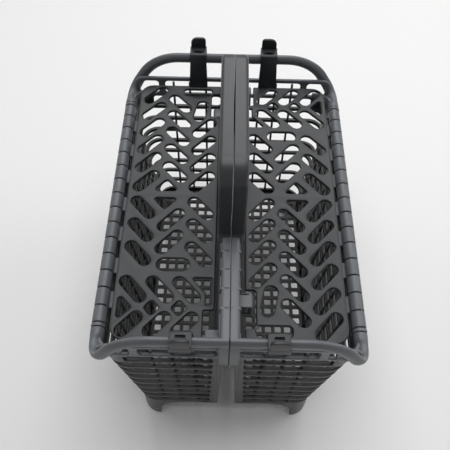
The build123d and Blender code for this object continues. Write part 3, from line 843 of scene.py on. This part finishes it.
def finished(obj, name, node, slot):  # to metres, shaded, painted, on its body
    obj.name = name
    obj.data.name = name
    pick(obj)
    obj.scale = (mm, mm, mm)
    bpy.ops.object.transform_apply(location=True, rotation=True, scale=True)
    bpy.ops.object.shade_smooth_by_angle(angle=math.radians(smoothAngle))
    obj.data.materials.clear()
    obj.data.materials.append(materials[slot])
    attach(obj, node)
    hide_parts(node)
    print(name, len(obj.data.polygons), "faces")


halfParts = wallRows() + endWalls() + uprightRibs()
halfParts += [innerWall(), basketFloor(), cornerFoot(1), cornerFoot(-1)]
print("walls and floor done")
halfParts += hingeRod() + endArch() + seamRail() + [handleHalf()] + halfCoupling()
rightHalf = joinPieces(halfParts, "rightBasketHalf")
leftHalf = copied(rightHalf, halfTurn)
finished(rightHalf, "rightBasketHalf", "right_half", "basket_plastic")
finished(leftHalf, "leftBasketHalf", "left_half", "basket_plastic")

lidParts = [lidPlate()] + lidHook() + [latchClip(-1), latchClip(1)]
rightLid = joinPieces(lidParts, "rightLid")
leftLid = copied(rightLid, halfTurn)
finished(rightLid, "rightGrilleLid", "right_lid", "lid_plastic")
finished(leftLid, "leftGrilleLid", "left_lid", "lid_plastic")

# pale sweep, soft light from above
studio = dict(
    floor=(0.88, 0.88, 0.88), floorRoughness=0.8, floorShine=0.2, size=1.5, aim=(0, 0, 0.12),
    world=0.11, backdrop=0.86, mirroredShare=0.5, paper=(1.0, 1.0, 1.0),
    key=dict(place=(0.05, 0.92, 1.08), size=(1.0, 0.9), watts=7.2),
    top=dict(place=(0.0, 0.0, 1.50), size=(1.2, 1.0), watts=11.0),
    left=dict(place=(-0.95, 0.35, 0.85), size=(0.8, 0.8), watts=1.5),
    right=dict(place=(0.95, 0.35, 0.85), size=(0.8, 0.8), watts=4.0),
)


def studioFloor():
    bpy.ops.object.select_all(action="DESELECT")
    bpy.ops.mesh.primitive_plane_add(size=studio["size"])
    floor = bpy.context.object
    floor.name = "studioFloor"
    mat = bpy.data.materials.new("paleFloor")
    mat.use_nodes = True
    shader = mat.node_tree.nodes["Principled BSDF"]
    shader.inputs["Base Color"].default_value = (*studio["floor"], 1)
    shader.inputs["Roughness"].default_value = studio["floorRoughness"]
    shader.inputs["Specular IOR Level"].default_value = studio["floorShine"]
    floor.data.materials.append(mat)


def softLamp(name, place, size, watts):
    lampData = bpy.data.lights.new(name, "AREA")
    lampData.shape = "RECTANGLE"
    lampData.size, lampData.size_y = size
    lampData.energy = watts
    lamp = bpy.data.objects.new(name, lampData)
    bpy.context.scene.collection.objects.link(lamp)
    lamp.location = place
    lamp.rotation_euler = (Vector(studio["aim"]) - Vector(place)).to_track_quat("-Z", "Y").to_euler()


def studioWorld():  # a dim room that the camera and, more faintly, reflections see as pale paper
    world = bpy.data.worlds.new("paleRoom")
    world.use_nodes = True
    nodes, links = world.node_tree.nodes, world.node_tree.links
    room = nodes["Background"]
    room.inputs["Strength"].default_value = studio["world"]
    seen = nodes.new("ShaderNodeBackground")
    seen.inputs["Strength"].default_value = studio["backdrop"]
    for back in (room, seen):
        back.inputs["Color"].default_value = (*studio["paper"], 1)
    rays = nodes.new("ShaderNodeLightPath")
    either = nodes.new("ShaderNodeMath")
    either.operation = "MAXIMUM"
    faint = nodes.new("ShaderNodeMath")
    faint.operation = "MULTIPLY"
    faint.inputs[1].default_value = studio["mirroredShare"]
    choice = nodes.new("ShaderNodeMixShader")
    links.new(rays.outputs["Is Camera Ray"], either.inputs[0])
    links.new(rays.outputs["Is Glossy Ray"], faint.inputs[0])
    links.new(faint.outputs["Value"], either.inputs[1])
    links.new(either.outputs["Value"], choice.inputs["Fac"])
    links.new(room.outputs["Background"], choice.inputs[1])
    links.new(seen.outputs["Background"], choice.inputs[2])
    links.new(choice.outputs["Shader"], nodes["World Output"].inputs["Surface"])
    bpy.context.scene.world = world


studioFloor()
studioWorld()
for side in ("key", "top", "left", "right"):
    softLamp(side + "Lamp", **studio[side])

# camera as in the photograph, placed in millimetres
shot = dict(
    place=(-4.38, -226.98, 463.20), pitch=56.52, yaw=0.18, roll=1.42, lens=45.94, sensor=36.0, nearClip=0.01,
)
camData = bpy.data.cameras.new("photoCamera")
camData.lens = shot["lens"]
camData.sensor_width = shot["sensor"]
camData.clip_start = shot["nearClip"]
cam = bpy.data.objects.new("photoCamera", camData)
bpy.context.scene.collection.objects.link(cam)
look = turned(-shot["yaw"], "Z") @ turned(90 - shot["pitch"], "X") @ turned(shot["roll"], "Z")
cam.matrix_world = Matrix.Translation(Vector(shot["place"]) * mm) @ look
bpy.context.scene.camera = cam
bpy.context.scene.view_settings.view_transform = "Standard"
print("studio and camera done")
